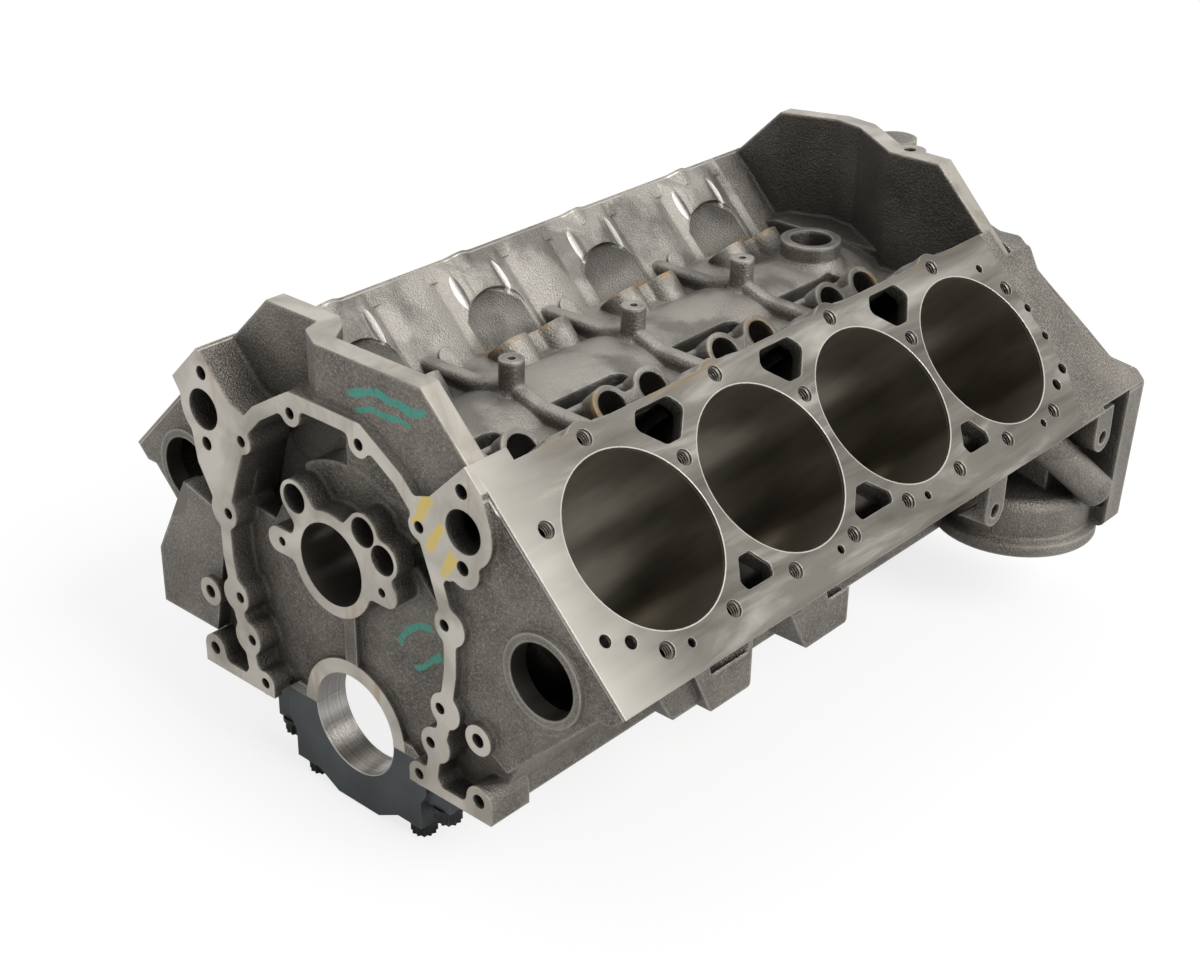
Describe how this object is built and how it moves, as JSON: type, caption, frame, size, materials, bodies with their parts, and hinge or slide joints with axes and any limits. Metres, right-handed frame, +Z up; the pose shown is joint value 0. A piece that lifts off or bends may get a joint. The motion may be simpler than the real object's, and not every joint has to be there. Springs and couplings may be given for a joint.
{
  "type": "engine block",
  "caption": "Bare V engine block casting with open cylinders, lifter valley, main bearing caps and cap bolts.",
  "frame": {"origin": "on the crankshaft axis, at the front face of the front main bearing", "axes": "+Y along the crankshaft from the timing face to the gearbox face, +Z up, +X across"},
  "size_m": [0.4347, 0.56, 0.3076],
  "materials": {
    "casting": "rough cast, with machined faces and bores",
    "main_cap": "dark matte",
    "cap_bolt": "black oxide",
    "dowel": "ground"
  },
  "bodies": {
    "root": {"block_casting": "casting", "main_cap_front": "main_cap", "main_cap_front_inner_bolts": "cap_bolt", "main_cap_front_outer_bolts": "cap_bolt", "main_cap_second": "main_cap", "main_cap_second_inner_bolts": "cap_bolt", "main_cap_second_outer_bolts": "cap_bolt", "main_cap_third": "main_cap", "main_cap_third_inner_bolts": "cap_bolt", "main_cap_third_outer_bolts": "cap_bolt", "main_cap_fourth": "main_cap", "main_cap_fourth_inner_bolts": "cap_bolt", "main_cap_fourth_outer_bolts": "cap_bolt", "main_cap_rear": "main_cap", "main_cap_rear_inner_bolts": "cap_bolt", "main_cap_rear_outer_bolts": "cap_bolt", "gearbox_dowels": "dowel"}
  },
  "joints": []
}
